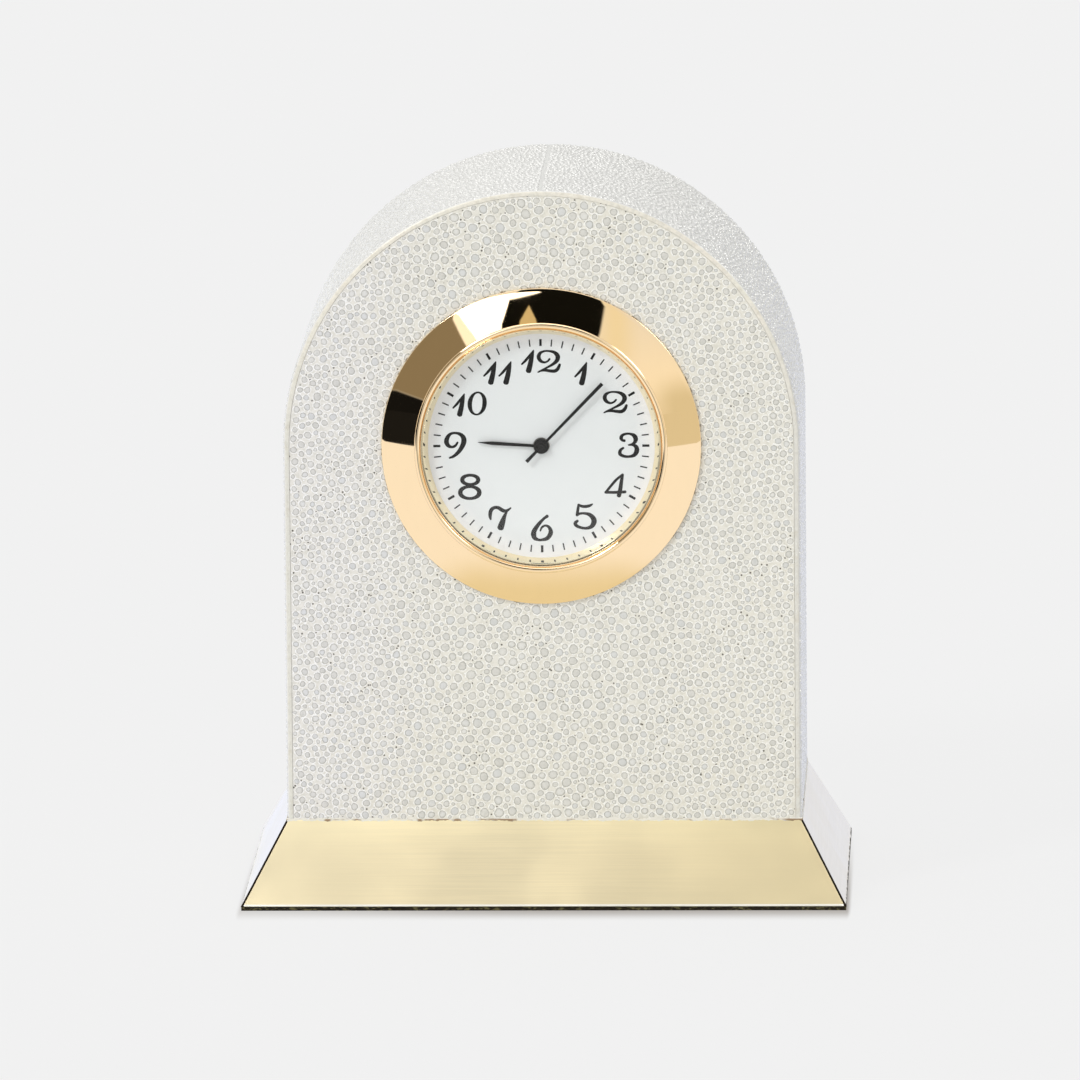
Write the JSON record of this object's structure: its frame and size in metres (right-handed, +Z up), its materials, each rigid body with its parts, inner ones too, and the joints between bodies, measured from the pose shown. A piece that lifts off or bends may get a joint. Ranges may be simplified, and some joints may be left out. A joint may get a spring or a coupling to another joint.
{
  "type": "shelf clock",
  "caption": "Small arched shelf clock: ray-skin case on a splayed brass base, with a round quartz insert in a conical gold bezel.",
  "frame": {"origin": "on the ground under the middle of the base", "axes": "+Z up, +X to the right seen from the front, the dial faces -Y"},
  "size_m": [0.095, 0.064, 0.1132],
  "materials": {
    "ray_skin_panel": "sanded and polished",
    "ray_skin_wrap": "glossy",
    "case_wood": "raw",
    "brass_plate": "brushed",
    "felt": "matte",
    "steel": "satin",
    "gold_bezel": "polished",
    "lens_glass": "clear",
    "gold_ring": "satin",
    "dial_white": "matt",
    "hand_black": "satin",
    "brass": "satin",
    "cup_plastic": "satin",
    "grip_rubber": "matte",
    "plate_plastic": "satin",
    "gear_plastic": "satin",
    "magnet": "ground",
    "stator_iron": "satin",
    "copper_winding": "enamelled",
    "circuit_board": "satin",
    "chip_resin": "glossy",
    "cell_steel": "satin",
    "cover_plastic": "satin"
  },
  "bodies": {
    "case": {"case_core": "case_wood", "wrap_skin": "ray_skin_wrap", "front_panel": "ray_skin_panel", "back_panel": "ray_skin_panel", "base_core": "case_wood", "base_plate_front": "brass_plate", "base_plate_back": "brass_plate", "base_plate_left": "brass_plate", "base_plate_right": "brass_plate", "base_felt": "felt", "base_screws": "steel"},
    "insert": {"bezel": "gold_bezel", "lens": "lens_glass", "dial_ring": "gold_ring", "dial": "dial_white", "dial_washer": "steel", "insert_cup": "cup_plastic", "grip_ring": "grip_rubber", "main_plate": "plate_plastic", "train_bridge": "plate_plastic", "movement_screws": "steel", "stator": "stator_iron", "coil_core": "stator_iron", "coil_winding": "copper_winding", "circuit_board": "circuit_board", "quartz_crystal": "cell_steel", "circuit_chip": "chip_resin", "cap_contact": "brass", "can_contact": "brass"},
    "button_cell": {"battery_cell": "cell_steel"},
    "cell_cover": {"battery_cover": "cover_plastic"},
    "minute_group": {"minute_hand": "hand_black", "cannon_pinion": "brass"},
    "hour_group": {"hour_hand": "hand_black", "hour_wheel": "gear_plastic"},
    "minute_wheel_group": {"minute_wheel": "gear_plastic"},
    "setting_group": {"setting_knob": "cover_plastic", "setting_stem": "gear_plastic"},
    "centre_group": {"centre_wheel": "brass"},
    "third_group": {"third_wheel": "gear_plastic"},
    "middle_group": {"middle_wheel": "gear_plastic"},
    "rotor_group": {"rotor": "gear_plastic", "rotor_magnet": "magnet"}
  },
  "joints": [
    {"name": "insert_pull", "type": "slide", "parent": "case", "child": "insert", "axis": [0, -1, 0], "range_m": [0, 0.025]},
    {"name": "cell_slide", "type": "slide", "parent": "insert", "child": "button_cell", "axis": [0, 1, 0], "range_m": [0, 0.009]},
    {"name": "cell_cover_pull", "type": "slide", "parent": "insert", "child": "cell_cover", "axis": [0, 1, 0], "range_m": [0, 0.0135]},
    {"name": "minute_hand_turn", "type": "hinge", "parent": "insert", "child": "minute_group", "pos_m": [0, 0, 0.0727], "axis": [0, 1, 0], "continuous": true},
    {"name": "hour_hand_turn", "type": "hinge", "parent": "insert", "child": "hour_group", "pos_m": [0, 0, 0.0727], "axis": [0, 1, 0], "continuous": true},
    {"name": "minute_wheel_turn", "type": "hinge", "parent": "insert", "child": "minute_wheel_group", "pos_m": [-0.00451, 0, 0.07106], "axis": [0, 1, 0], "continuous": true},
    {"name": "setting_knob_turn", "type": "hinge", "parent": "insert", "child": "setting_group", "pos_m": [-0.00902, 0, 0.06942], "axis": [0, 1, 0], "continuous": true},
    {"name": "centre_wheel_turn", "type": "hinge", "parent": "insert", "child": "centre_group", "pos_m": [0, 0, 0.0727], "axis": [0, 1, 0], "continuous": true},
    {"name": "third_wheel_turn", "type": "hinge", "parent": "insert", "child": "third_group", "pos_m": [0.00485, 0, 0.0755], "axis": [0, 1, 0], "continuous": true},
    {"name": "middle_wheel_turn", "type": "hinge", "parent": "insert", "child": "middle_group", "pos_m": [0.00873, 0, 0.07584], "axis": [0, 1, 0], "continuous": true},
    {"name": "rotor_turn", "type": "hinge", "parent": "insert", "child": "rotor_group", "pos_m": [0.01128, 0, 0.07329], "axis": [0, 1, 0], "continuous": true}
  ],
  "couplings": [
    {"joint": "cell_cover_pull", "follows": "cell_slide", "ratio": 1.5},
    {"joint": "hour_hand_turn", "follows": "minute_hand_turn", "ratio": 0.083333},
    {"joint": "minute_wheel_turn", "follows": "minute_hand_turn", "ratio": -0.33333},
    {"joint": "setting_knob_turn", "follows": "minute_hand_turn", "ratio": 1},
    {"joint": "centre_wheel_turn", "follows": "minute_hand_turn", "ratio": 1},
    {"joint": "third_wheel_turn", "follows": "minute_hand_turn", "ratio": -6},
    {"joint": "middle_wheel_turn", "follows": "minute_hand_turn", "ratio": 30},
    {"joint": "rotor_turn", "follows": "minute_hand_turn", "ratio": -90}
  ]
}
